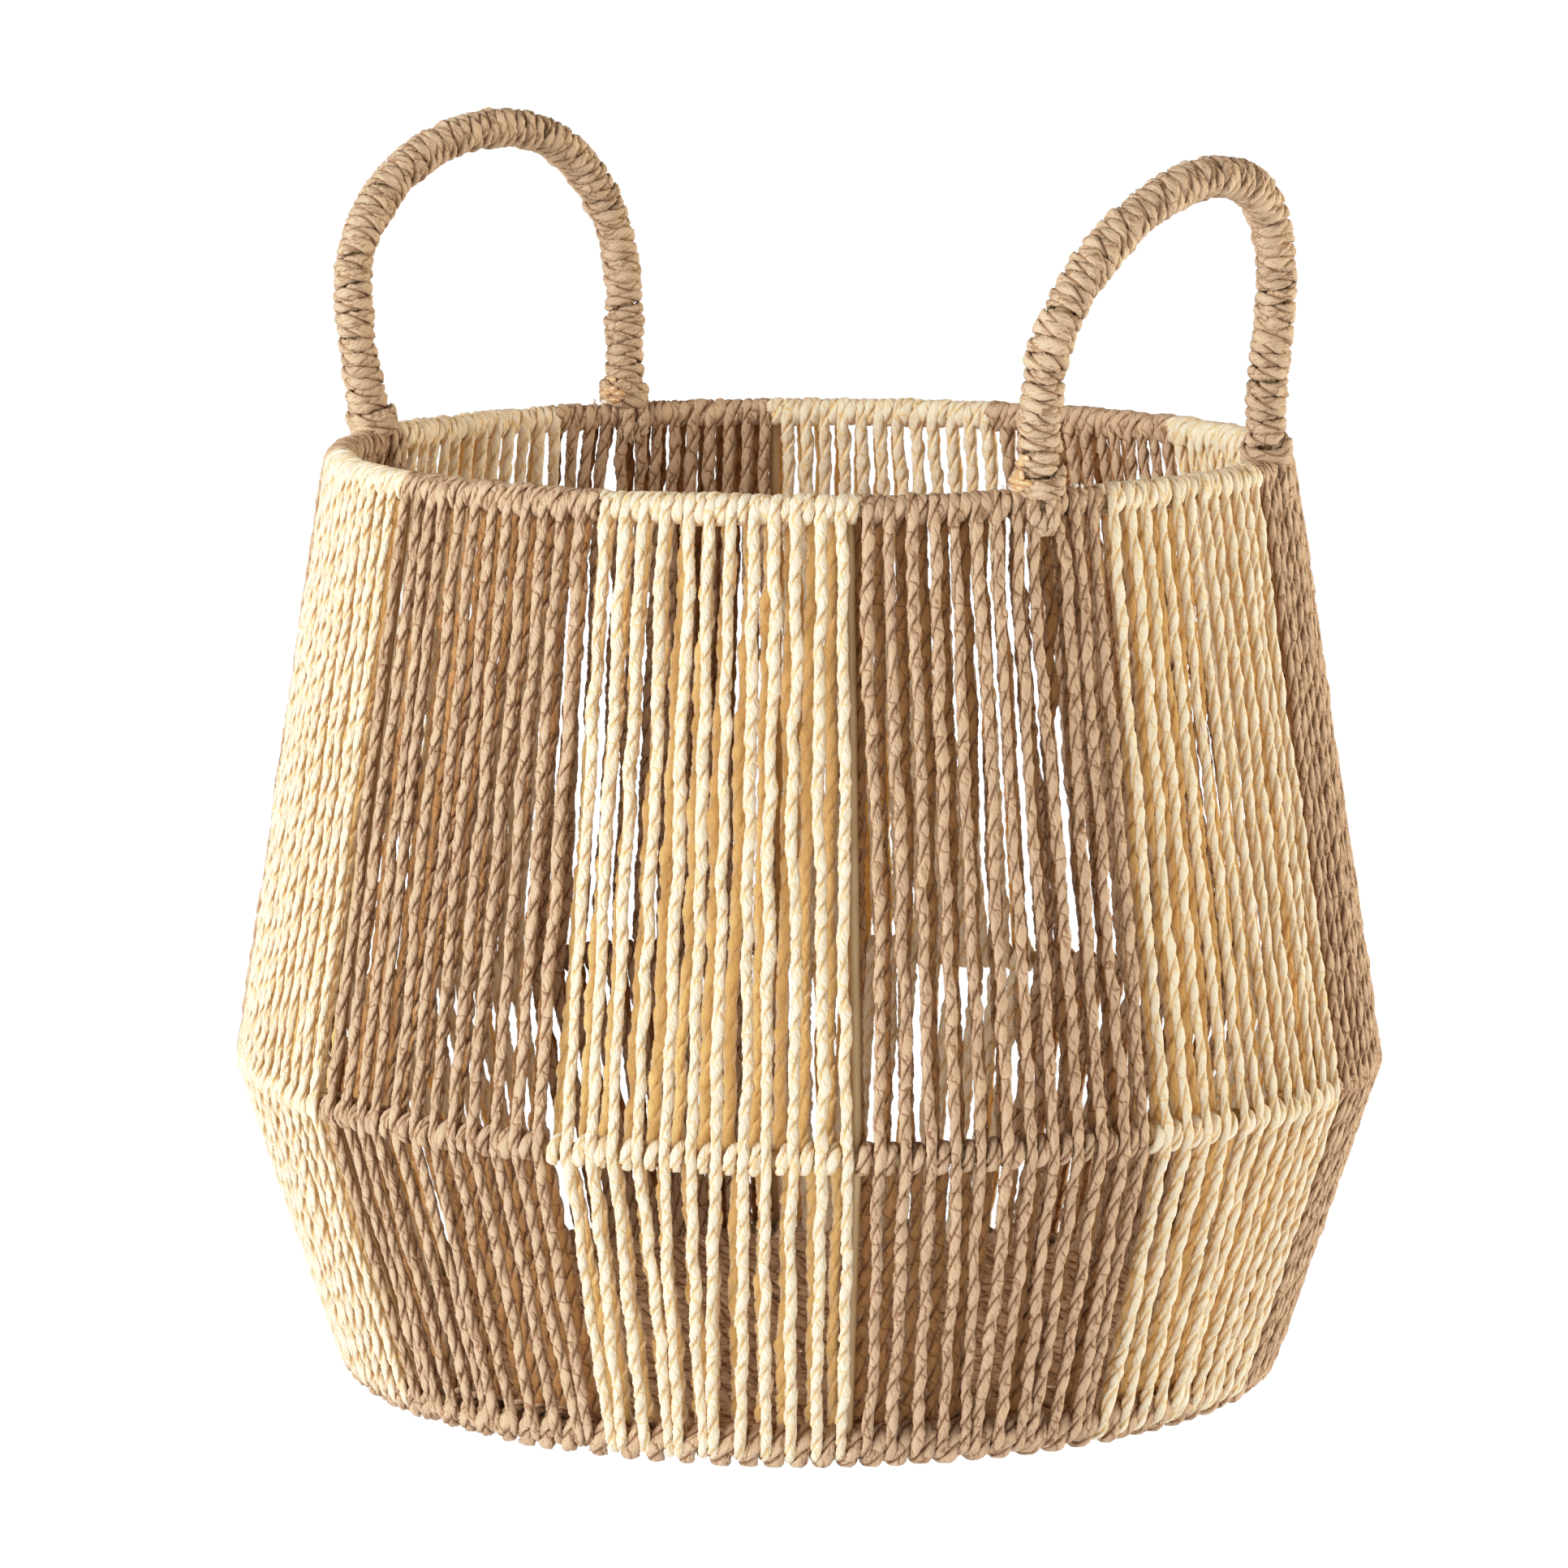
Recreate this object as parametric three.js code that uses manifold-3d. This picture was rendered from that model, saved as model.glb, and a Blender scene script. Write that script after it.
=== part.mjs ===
// A round laundry basket: paper cord wound on a welded steel wire frame, with two arched
// carrying handles and a woven floor. Millimetres, +Z up. The origin is on the floor under
// the middle of the basket, and +X points through the first handle.

import * as THREE from "three";
import { mergeVertices } from "three/addons/utils/BufferGeometryUtils.js";
import Module from "manifold-3d";

// ---- driving dimensions ----

const GAP = 0.3; // clearance kept between pieces that touch on the real basket
const HOOP_WIRE = 2.5; // radius of the wire in the three hoops
const STAY_WIRE = 1.9; // radius of the stays and of the floor's ribs
const HANDLE_WIRE = 3; // radius of the wire inside each handle
const CORD = 2.7; // thickness of one wound layer of wall cord
const LASHING = 2.8; // thickness of the lashing over the rim at a handle's foot
const HANDLE_CORD = 4.2; // thickness of the cord wound round a handle

// Each hoop's wire centreline: its radius and its height above the floor.
const RIM = { radius: 162, height: 317.7 };
const BELLY = { radius: 194.3, height: 110.6 };
const BASE = { radius: 160, height: 7.9 };

const PANELS = 12; // cream and tan by turns
const FIRST_PANEL = -15; // where the first panel, a cream one, begins, in degrees
const STAYS = 6; // one beside every second seam between panels
const STAY_LEAD = 1.5; // how far each stay stands before its seam, in degrees

const FLOOR_RIBS = 5;
const RIB_PITCH = 52;
const RIB_DIRECTION = 103.5; // degrees from +X; the rows of the floor cross the ribs at right angles
const FLOOR_CORD = 3; // thickness of the floor's cord over and under a rib

// The handles are bent by hand, so each has its own shape. centre and spread are degrees round
// the rim. In the arch's own plane, which leans outward by lean degrees, crown is how far the
// top stands off the middle, and each side has its own reach, shoulder height and roundness.
const HANDLES = [
  {
    centre: 0, spread: 23.4, rise: 104, crown: 9.4, lean: 8,
    sides: [{ reach: 70.6, shoulder: 45, roundness: 1.71 }, { reach: 56.8, shoulder: 37, roundness: 2.57 }],
  },
  {
    centre: 176.7, spread: 22.7, rise: 108, crown: -3, lean: 2,
    sides: [{ reach: 65, shoulder: 43.6, roundness: 2.05 }, { reach: 72.4, shoulder: 54.7, roundness: 1.97 }],
  },
];
const LASHING_DROP = 22; // how far the lashing hangs down the wall on each side of the rim
const LASHING_SPREAD = 8.5; // width of a lashing round the rim, in degrees

const AROUND = 60; // steps round the basket
const ARC_STEP = 45; // degrees between the points of a rounded profile
const WIRE_SIDES = 8;
const HANDLE_STEPS = 28;

const WRAP = HOOP_WIRE + GAP + CORD; // from a hoop's centreline to the face of the wound cord
const HANDLE_WRAP = HANDLE_WIRE + GAP + HANDLE_CORD;

// ---- materials ----

const finish = (color, roughness, metalness = 0) =>
  new THREE.MeshStandardMaterial({ color, roughness, metalness });
const framePaint = () => finish(0xcdb487, 0.45, 0.1);
const creamCord = () => finish(0xf2e4c0, 0.75);
const tanCord = () => finish(0xb9976f, 0.85);
const handleCord = () => finish(0xcfb18c, 0.8);

// ---- small helpers ----

const wasm = await Module();
wasm.setup();

const radians = THREE.MathUtils.degToRad;
const polar = (radius, degrees) => [radius * Math.cos(radians(degrees)), radius * Math.sin(radians(degrees))];

// The radius of a polygon's corners whose flats stand at least this far from its centre.
const clearOf = (radius, stepDegrees) => radius / Math.cos(radians(stepDegrees / 2));

function toSolid(geometry) {
  const plain = geometry.clone();
  plain.deleteAttribute("normal");
  plain.deleteAttribute("uv");
  const merged = mergeVertices(plain, 1e-4);
  return new wasm.Manifold(
    new wasm.Mesh({
      numProp: 3,
      vertProperties: new Float32Array(merged.attributes.position.array),
      triVerts: new Uint32Array(merged.index.array),
    }),
  );
}

function toGeometry(solid) {
  const mesh = solid.getMesh();
  const geometry = new THREE.BufferGeometry();
  geometry.setAttribute("position", new THREE.BufferAttribute(mesh.vertProperties, 3));
  geometry.setIndex(new THREE.BufferAttribute(mesh.triVerts, 1));
  geometry.computeVertexNormals();
  return geometry;
}

// Turns a closed profile round the axis. Every profile here runs clockwise.
function turned(profile) {
  const outline = [...profile, profile[0]].reverse().map((point) => new THREE.Vector2(...point));
  return new THREE.LatheGeometry(outline, AROUND).rotateX(Math.PI / 2);
}

function wireBetween(start, end, radius) {
  const span = end.clone().sub(start);
  const wire = new THREE.CylinderGeometry(radius, radius, span.length(), WIRE_SIDES);
  const turn = new THREE.Quaternion().setFromUnitVectors(new THREE.Vector3(0, 1, 0), span.clone().normalize());
  return wire.applyQuaternion(turn).translate(...start.clone().add(end).multiplyScalar(0.5).toArray());
}

// A slice of the space round the axis, between two bearings in degrees.
function wedge(from, to) {
  const reach = 2 * BELLY.radius;
  const slice = new THREE.Shape();
  slice.moveTo(0, 0);
  slice.lineTo(...polar(reach, from));
  slice.lineTo(...polar(reach, to));
  const tall = new THREE.ExtrudeGeometry(slice, { depth: 2 * RIM.height, bevelEnabled: false });
  return toSolid(tall.translate(0, 0, -RIM.height / 2));
}

// ---- profiles of the wall, as [radius, height] points ----

function arc(hoop, radius, from, to) {
  const count = Math.max(1, Math.round(Math.abs(to - from) / ARC_STEP));
  return Array.from({ length: count + 1 }, (_, i) => {
    const [across, up] = polar(radius, from + ((to - from) * i) / count);
    return [hoop.radius + across, hoop.height + up];
  });
}

// The bearing of the wall's outward normal, in the profile's plane, between two hoops.
const outwardTilt = (low, high) =>
  -THREE.MathUtils.radToDeg(Math.atan2(high.radius - low.radius, high.height - low.height));
const UPPER_TILT = outwardTilt(BELLY, RIM);
const LOWER_TILT = outwardTilt(BASE, BELLY);

// The closed line at one distance round all three hoops: over the rim, down the outside,
// under the base and up the inside, with a single fold at the belly's inner side.
function beltLine(distance) {
  const fold = (UPPER_TILT + LOWER_TILT) / 2;
  const mitre = distance / Math.cos(radians((UPPER_TILT - LOWER_TILT) / 2));
  const [across, up] = polar(mitre, fold);
  return [
    ...arc(RIM, distance, UPPER_TILT + 180, UPPER_TILT),
    ...arc(BELLY, distance, UPPER_TILT, LOWER_TILT),
    ...arc(BASE, distance, LOWER_TILT, LOWER_TILT - 180),
    [BELLY.radius - across, BELLY.height - up],
  ];
}

function saddleProfile(near, far) {
  const [acrossWall, upWall] = polar(LASHING_DROP, UPPER_TILT - 90);
  const hang = ([radius, height]) => [radius + acrossWall, height + upWall];
  const outer = arc(RIM, far, UPPER_TILT + 180, UPPER_TILT);
  const inner = arc(RIM, near, UPPER_TILT, UPPER_TILT + 180);
  return [hang(outer[0]), ...outer, hang(outer.at(-1)), hang(inner[0]), ...inner, hang(inner.at(-1))];
}

// ---- the wire frame ----

function hoopWire(hoop) {
  const corners = Array.from({ length: WIRE_SIDES }, (_, i) => {
    const [across, up] = polar(HOOP_WIRE, (-360 * (i + 0.5)) / WIRE_SIDES);
    return [hoop.radius + across, hoop.height + up];
  });
  return turned(corners);
}

function stayWire(low, high, bearing) {
  const foot = new THREE.Vector3(...polar(low.radius, bearing), low.height);
  const head = new THREE.Vector3(...polar(high.radius, bearing), high.height);
  const inset = head.clone().sub(foot).setLength(HOOP_WIRE + GAP);
  return wireBetween(foot.add(inset), head.sub(inset), STAY_WIRE);
}

// A rib lies on a chord of the base hoop and stops just short of the hoop's wire.
function ribWire(index, radius, reach) {
  const offset = (index - (FLOOR_RIBS - 1) / 2) * RIB_PITCH;
  const half = Math.sqrt(reach ** 2 - (Math.abs(offset) + STAY_WIRE) ** 2);
  const start = new THREE.Vector3(-half, offset, BASE.height);
  const end = new THREE.Vector3(half, offset, BASE.height);
  return wireBetween(start, end, radius).rotateZ(radians(RIB_DIRECTION));
}

// ---- the handles ----

const LEG = 0.2; // share of the curve's parameter that each straight leg takes

class HandleCurve extends THREE.Curve {
  constructor(shape, cut) {
    super();
    const corner = (side) =>
      new THREE.Vector3(...polar(RIM.radius, shape.centre + side * shape.spread), RIM.height);
    const feet = [corner(-1), corner(1)];
    this.shape = shape;
    this.middle = feet[0].clone().add(feet[1]).multiplyScalar(0.5);
    this.footHalf = feet[0].distanceTo(feet[1]) / 2;
    this.side = feet[1].clone().sub(feet[0]).normalize();
    const outward = new THREE.Vector3(...polar(1, shape.centre), 0);
    this.up = outward.multiplyScalar(Math.sin(radians(shape.lean)));
    this.up.z = Math.cos(radians(shape.lean));
    this.starts = shape.sides.map(({ shoulder }) => (LEG * cut) / shoulder);
  }

  // One side of the arch as [distance along the side, height], from its foot to the crown.
  sidePoint(side, share) {
    const { rise, crown, sides } = this.shape;
    const { reach, shoulder, roundness } = sides[side];
    const sign = side === 0 ? -1 : 1;
    if (share < 2 * LEG) {
      const climb = share / (2 * LEG);
      return [sign * (this.footHalf + (reach - this.footHalf) * (1 - (1 - climb) ** 2)), shoulder * climb];
    }
    const turn = ((share - 2 * LEG) / (1 - 2 * LEG)) * (Math.PI / 2);
    const power = 2 / roundness;
    const across = crown + (sign * reach - crown) * Math.max(0, Math.cos(turn)) ** power;
    return [across, shoulder + (rise - shoulder) * Math.sin(turn) ** power];
  }

  getPoint(t, target = new THREE.Vector3()) {
    const along = this.starts[0] + (1 - this.starts[0] - this.starts[1]) * t;
    const [across, height] = this.sidePoint(along < 0.5 ? 0 : 1, 1 - Math.abs(1 - 2 * along));
    return target.copy(this.middle).addScaledVector(this.side, across).addScaledVector(this.up, height);
  }
}

function handleTube(shape, cut, outer, inner = 0) {
  const ring = (radius) =>
    Array.from({ length: WIRE_SIDES }, (_, i) => new THREE.Vector2(...polar(radius, (360 * i) / WIRE_SIDES)));
  const section = new THREE.Shape(ring(outer));
  if (inner > 0) section.holes.push(new THREE.Path(ring(inner).reverse()));
  return new THREE.ExtrudeGeometry(section, {
    steps: HANDLE_STEPS,
    curveSegments: WIRE_SIDES,
    extrudePath: new HandleCurve(shape, cut),
  });
}

// ---- cutting tools shared by the wound and woven pieces ----

const HANDLE_BORE = clearOf(HANDLE_WIRE + GAP, 360 / WIRE_SIDES);
const handleBores = HANDLES.map((shape) => toSolid(handleTube(shape, 0, HANDLE_BORE)));

const RIB_BORE = clearOf(STAY_WIRE + GAP, 360 / WIRE_SIDES);
const ribBores = Array.from({ length: FLOOR_RIBS }, (_, i) => toSolid(ribWire(i, RIB_BORE, BASE.radius)));

const without = (solid, tools) => tools.reduce((left, tool) => left.subtract(tool), solid);

// ---- the wound wall: one closed band of cord in each panel ----

const SEAM = THREE.MathUtils.radToDeg(GAP / 2 / (BASE.radius - WRAP)); // half a seam, in degrees

function wallRing() {
  const skin = toSolid(turned(beltLine(WRAP)));
  const hollow = toSolid(turned(beltLine(clearOf(HOOP_WIRE + GAP, ARC_STEP))));
  return without(skin, [hollow, ...handleBores, ...ribBores]);
}

const wall = wallRing();

function wallPanel(index) {
  const step = 360 / PANELS;
  const start = FIRST_PANEL + index * step;
  return toGeometry(wall.intersect(wedge(start + SEAM, start + step - SEAM)));
}

// ---- the floor, the cord round the base and the lashings at the handles' feet ----

const WHIP_NEAR = clearOf(WRAP + GAP, ARC_STEP);
const WHIP_FAR = clearOf(BASE.height, ARC_STEP);

function baseWhipping() {
  const flatBelow = ARC_STEP / 2;
  const under = arc(BASE, WHIP_FAR, -flatBelow, flatBelow - 180);
  const over = arc(BASE, WHIP_NEAR, flatBelow - 180, -flatBelow);
  return toGeometry(without(toSolid(turned([...under, ...over])), ribBores));
}

function floorWeave() {
  const radius = BASE.radius - WHIP_FAR - 2 * GAP;
  const thickness = 2 * (STAY_WIRE + GAP + FLOOR_CORD);
  const disc = new THREE.CylinderGeometry(radius, radius, thickness, AROUND).rotateX(Math.PI / 2);
  return toGeometry(without(toSolid(disc.translate(0, 0, BASE.height)), ribBores));
}

const saddleRing = toSolid(turned(saddleProfile(clearOf(WRAP + GAP, ARC_STEP), WRAP + GAP + LASHING)));

function footLashing(bearing) {
  const half = LASHING_SPREAD / 2;
  return toGeometry(without(saddleRing.intersect(wedge(bearing - half, bearing + half)), handleBores));
}

// ---- the basket ----

const basket = new THREE.Group();

function add(name, geometry, material) {
  const piece = new THREE.Mesh(geometry, material);
  piece.name = name;
  basket.add(piece);
}

add("rim_hoop", hoopWire(RIM), framePaint());
add("belly_hoop", hoopWire(BELLY), framePaint());
add("base_hoop", hoopWire(BASE), framePaint());

for (let i = 0; i < STAYS; i++) {
  const bearing = FIRST_PANEL + 360 / PANELS - STAY_LEAD + (360 / STAYS) * i;
  add(`upper_stay_${i + 1}`, stayWire(BELLY, RIM, bearing), framePaint());
  add(`lower_stay_${i + 1}`, stayWire(BASE, BELLY, bearing), framePaint());
}

for (let i = 0; i < FLOOR_RIBS; i++) {
  add(`floor_rib_${i + 1}`, ribWire(i, STAY_WIRE, BASE.radius - HOOP_WIRE - GAP), framePaint());
}

for (let i = 0; i < PANELS; i++) {
  const cream = i % 2 === 0;
  const name = `${cream ? "cream" : "tan"}_cord_panel_${Math.floor(i / 2) + 1}`;
  add(name, wallPanel(i), cream ? creamCord() : tanCord());
}

add("base_whipping", baseWhipping(), tanCord());
add("floor_weave", floorWeave(), tanCord());

const CORE_CUT = HOOP_WIRE + 3 * GAP; // where a handle's wire meets the rim's wire
const WRAP_CUT = WRAP + LASHING + 9 * GAP; // where the handle's cord begins, above the lashing

HANDLES.forEach((shape, index) => {
  const number = index + 1;
  add(`handle_wire_${number}`, handleTube(shape, CORE_CUT, HANDLE_WIRE), framePaint());
  add(`handle_cord_${number}`, handleTube(shape, WRAP_CUT, HANDLE_WRAP, HANDLE_BORE), handleCord());
  [-1, 1].forEach((side, foot) => {
    const bearing = shape.centre + side * shape.spread;
    add(`foot_lashing_${2 * index + foot + 1}`, footLashing(bearing), handleCord());
  });
});

export default basket;
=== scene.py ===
"""A round laundry basket: two-ply paper cord wound on a painted wire frame.

Every length below is in millimetres until MM turns it into metres. Bearings are degrees round
the basket's axis from +X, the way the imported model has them. A winding is drawn as one long
swept cord whose two plies twist round each other, so each crease is real geometry.
"""

import math
from types import SimpleNamespace

import bpy
import numpy as np
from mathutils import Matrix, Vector


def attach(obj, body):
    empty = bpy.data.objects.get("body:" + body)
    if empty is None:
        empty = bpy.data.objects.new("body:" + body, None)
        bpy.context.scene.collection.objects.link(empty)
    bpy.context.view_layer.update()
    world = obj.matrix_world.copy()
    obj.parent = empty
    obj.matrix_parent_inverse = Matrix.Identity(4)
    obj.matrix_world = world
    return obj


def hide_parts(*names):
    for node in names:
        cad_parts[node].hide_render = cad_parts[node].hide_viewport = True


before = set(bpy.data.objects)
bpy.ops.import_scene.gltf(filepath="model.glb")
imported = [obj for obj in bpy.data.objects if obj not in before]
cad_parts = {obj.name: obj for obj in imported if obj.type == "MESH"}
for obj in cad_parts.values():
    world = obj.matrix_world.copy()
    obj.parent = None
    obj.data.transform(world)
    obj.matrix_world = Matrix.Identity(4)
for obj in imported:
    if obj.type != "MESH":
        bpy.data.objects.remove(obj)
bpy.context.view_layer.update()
MM = 0.001
SEED = 20

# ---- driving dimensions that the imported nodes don't state as such ----

HOOP_WIRE = 2.5
STAY_WIRE = 1.9
HANDLE_WIRE = 3.0
PANELS = 12
FIRST_PANEL = -15.0
STAYS = 6
STAY_LEAD = 1.5
FLOOR_RIBS = 5
RIB_PITCH = 52.0
RIB_DIRECTION = 103.5
HANDLES = [
    SimpleNamespace(centre=0, spread=23.4, rise=104, crown=9.4, lean=8,
                    sides=[(70.6, 45.0, 1.71), (56.8, 37.0, 2.57)]),
    SimpleNamespace(centre=176.7, spread=22.7, rise=108, crown=-3, lean=2,
                    sides=[(65.0, 43.6, 2.05), (72.4, 54.7, 1.97)]),
]  # each side of an arch: its reach, the height of its shoulder and its roundness

# ---- the cord ----

STEP = 1.25  # between two sections of a swept cord
TWIST_PITCH = 21.0  # length of one full turn of the two plies
WOUND_PITCH = 17.0  # the same where the cord is wound tight round a hoop or a handle
LOOP_PITCH = 15.0
FLOOR_PITCH = 19.0
FIBRE_RADIUS = 0.07  # of a stray fibre at its root
FIBRE_LENGTH = (1.2, 3.4)
FIBRE_BEND = 0.35
FIBRE_EVERY = 900  # corners of the cord's skin for each stray fibre
DWELL = 0.12  # how unevenly the plies turn
SWELL = 0.08  # how much the cord narrows where they cross
TIP = 2.0  # length over which a cord's end tapers
# Each cord's half width along the thing that it is wound on, and its half thickness.
WALL_CORD = (2.03, 1.7)
RIM_LOBE = (2.3, 1.5)
BEAD = (2.25, 1.75)
BASE_LOBE = (1.95, 1.6)
WHIP_CORD = (3.0, 1.8)
FLOOR_CORD = (3.7, 2.0)
HANDLE_CORD = (2.75, 1.95)
FOOT_CORD = (2.6, 1.9)  # the lashing's turns
LASH_CORD = (2.3, 1.7)  # its loop and strap

TURNS = 12  # strands in one panel
WRAP_RADIUS = 4.0  # from a hoop's centre to the middle of the cord round it
BELLY_RADIUS = 4.2
BASE_RADIUS = 4.7
WHIP_RADIUS = (4.0, 5.2)  # sideways, and upwards
WHIP_TURN = 34.0  # length of cord in one turn of the whipping
HANDLE_WRAP_RADIUS = 5.3
HANDLE_TURN = 4.5  # along the handle, from one turn of its cord to the next
HANDLE_WIRE_START, HANDLE_CORD_START = 3.4, 9.0  # heights above the rim's wire
LASH_RADIUS = 7.2
LASH_TURNS = 2.6
LASH_SPAN = (11.0, 4.6)  # where the first turn and the last are, along the handle from the rim's wire
LASH_SPACING = 6.0  # the radius for which the sections of the lashing are STEP apart
FLOOR_ROW = 6.4
FLOOR_INSET = 6.5  # from the base hoop's wire to the ends of the rows
FLOOR_LIFT = 1.35  # from a rib's surface to the middle of the cord that crosses it


def hoop(node):
    """The middle line of a hoop's wire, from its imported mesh."""
    corners = np.array([v.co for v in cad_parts[node].data.vertices]) / MM
    return SimpleNamespace(
        radius=float(np.hypot(corners[:, 0], corners[:, 1]).mean()), height=float(corners[:, 2].mean())
    )


RIM, BELLY, BASE = hoop("rim_hoop"), hoop("belly_hoop"), hoop("base_hoop")


def outward_tilt(low, high):
    return -math.degrees(math.atan2(high.radius - low.radius, high.height - low.height))


UPPER_TILT, LOWER_TILT = outward_tilt(BELLY, RIM), outward_tilt(BASE, BELLY)


# ---- camera, light and floor ----

CAMERA_DISTANCE, CAMERA_BEARING, CAMERA_HEIGHT = 2358.0, -51.0, 565.3
CAMERA_PITCH, CAMERA_PAN = 8.726, 0.212  # degrees down, and to the left of the axis
SENSOR, LENS = 36.0, 157.1
CLIP_END = 200.0  # metres
LIGHT_SIZE, LIGHT_DISTANCE = 1.5, 2.4  # metres
LIGHT_TARGET = (0, 0, 0.2)
SKY, SKY_STRENGTH = (1, 0.95, 0.88, 1), 0.26
FLOOR_GLOW = 1.25  # the backdrop glows evenly, so nothing casts a shadow on it
BACKDROP_RADIUS, BACKDROP_HEIGHT, BACKDROP_SIDES = 8.0, 1.8, 96  # metres
TONE_CURVE = ((0.5, 0.505), (0.8, 0.77), (1.0, 0.88), (1.15, 0.95))  # brightness, and how it is shown


def add_camera():
    data = bpy.data.cameras.new("camera")
    data.sensor_width = SENSOR
    data.lens = LENS
    data.clip_end = CLIP_END
    camera = bpy.data.objects.new("camera", data)
    bpy.context.scene.collection.objects.link(camera)
    bearing = math.radians(CAMERA_BEARING)
    camera.location = (
        CAMERA_DISTANCE * MM * math.cos(bearing),
        CAMERA_DISTANCE * MM * math.sin(bearing),
        CAMERA_HEIGHT * MM,
    )
    heading = math.radians(CAMERA_BEARING + 90 + CAMERA_PAN)
    camera.rotation_euler = (math.radians(90 - CAMERA_PITCH), 0, heading)
    bpy.context.scene.camera = camera


def add_soft_light(name, bearing, elevation, watts, colour=(1, 1, 1)):
    """A square light that faces the middle of the basket. Its bearing counts from the camera's."""
    data = bpy.data.lights.new(name, "AREA")
    data.size = LIGHT_SIZE
    data.energy = watts
    data.color = colour
    lamp = bpy.data.objects.new(name, data)
    bpy.context.scene.collection.objects.link(lamp)
    turn, tilt = math.radians(CAMERA_BEARING + bearing), math.radians(elevation)
    away = Vector((math.cos(turn) * math.cos(tilt), math.sin(turn) * math.cos(tilt), math.sin(tilt)))
    lamp.location = away * LIGHT_DISTANCE + Vector(LIGHT_TARGET)
    lamp.rotation_euler = away.to_track_quat("Z", "Y").to_euler()


def add_studio():
    world = bpy.data.worlds.new("studio")
    bpy.context.scene.world = world
    world.use_nodes = True
    world.node_tree.nodes["Background"].inputs["Color"].default_value = SKY
    world.node_tree.nodes["Background"].inputs["Strength"].default_value = SKY_STRENGTH
    add_soft_light("key", bearing=-52, elevation=18, watts=70)
    add_soft_light("edge", bearing=98, elevation=8, watts=60, colour=(1, 0.88, 0.68))
    view = bpy.context.scene.view_settings
    view.view_transform = "Standard"
    view.use_curve_mapping = True
    view.curve_mapping.use_clip = False
    shoulder = view.curve_mapping.curves[3]
    shoulder.points[1].location = (FLOOR_GLOW, 1.01)
    for brightness, shown in TONE_CURVE:
        shoulder.points.new(brightness, shown)
    view.curve_mapping.update()


def add_backdrop():
    """A round floor with a low wall round it, so that a level view sees no edge."""
    sides = BACKDROP_SIDES
    turns = [k * math.tau / sides for k in range(sides)]
    corners = [
        (BACKDROP_RADIUS * math.cos(turn), BACKDROP_RADIUS * math.sin(turn), z)
        for z in (0, BACKDROP_HEIGHT) for turn in turns
    ]
    wall = [((k + 1) % sides, k, sides + k, sides + (k + 1) % sides) for k in range(sides)]
    data = bpy.data.meshes.new("floor")
    data.from_pydata(corners, [], [tuple(range(sides)), *wall])
    floor = bpy.data.objects.new("floor", data)
    bpy.context.scene.collection.objects.link(floor)
    material, shader, _ = new_material("studio_floor")
    shader.inputs["Base Color"].default_value = (0, 0, 0, 1)
    shader.inputs["Emission Color"].default_value = (1, 1, 1, 1)
    shader.inputs["Emission Strength"].default_value = FLOOR_GLOW
    shader.inputs["Specular IOR Level"].default_value = 0
    data.materials.append(material)


# ---- materials ----


def new_material(name):
    material = bpy.data.materials.new(name)
    material.use_nodes = True
    tree = material.node_tree
    return material, tree.nodes["Principled BSDF"], tree


def node(tree, kind, **values):
    made = tree.nodes.new(kind)
    for key, value in values.items():
        if hasattr(made, key):
            setattr(made, key, value)
        else:
            made.inputs[key.replace("_", " ")].default_value = value
    return made


def stretched_noise(tree, vector, lengthwise, around, detail, lean=0):
    """Noise on a ply's own coordinates, with grains of these sizes in millimetres, turned by lean degrees."""
    placed = node(tree, "ShaderNodeMapping", vector_type="TEXTURE")
    placed.inputs["Rotation"].default_value = (0, 0, math.radians(lean))
    placed.inputs["Scale"].default_value = (lengthwise * MM, around * MM, 1)
    tree.links.new(vector, placed.inputs["Vector"])
    noise = node(tree, "ShaderNodeTexNoise", Scale=1.0, Detail=detail, Roughness=0.6)
    tree.links.new(placed.outputs[0], noise.inputs["Vector"])
    return noise.outputs["Fac"]


def strip_edges(tree, vector, spacing, lean):
    """A saw-tooth over a ply's own coordinates: it drops where the rolled paper strip's edge shows."""
    placed = node(tree, "ShaderNodeMapping", vector_type="TEXTURE")
    placed.inputs["Rotation"].default_value = (0, 0, math.radians(lean))
    placed.inputs["Scale"].default_value = (spacing * MM, spacing * MM, spacing * MM)
    tree.links.new(vector, placed.inputs["Vector"])
    one_per_unit = 2 * math.pi / 20
    wave = node(tree, "ShaderNodeTexWave", wave_profile="SAW", Scale=one_per_unit, Distortion=4.0, Detail=2.0)
    wave.inputs["Detail Scale"].default_value = 3.0
    tree.links.new(placed.outputs[0], wave.inputs["Vector"])
    return wave.outputs["Fac"]


def ramp(tree, value, *stops):
    made = node(tree, "ShaderNodeValToRGB")
    elements = made.color_ramp.elements
    for index, (position, colour) in enumerate(stops):
        element = elements[index] if index < 2 else elements.new(position)
        element.position = position
        element.color = (*colour, 1)
    tree.links.new(value, made.inputs["Fac"])
    return made.outputs["Color"]


def mixed(tree, share, first, second, blend="MIX"):
    """Mixes two colours, each an output or a plain colour. share is an output or a number."""
    made = node(tree, "ShaderNodeMix", data_type="RGBA", blend_type=blend)
    for socket, value in ((made.inputs["Factor"], share), (made.inputs[6], first), (made.inputs[7], second)):
        if isinstance(value, bpy.types.NodeSocket):
            tree.links.new(value, socket)
        elif isinstance(value, (int, float)):
            socket.default_value = value
        else:
            socket.default_value = (*value, 1)
    return made.outputs[2]


def grey(value):
    return (value, value, value)


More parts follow.
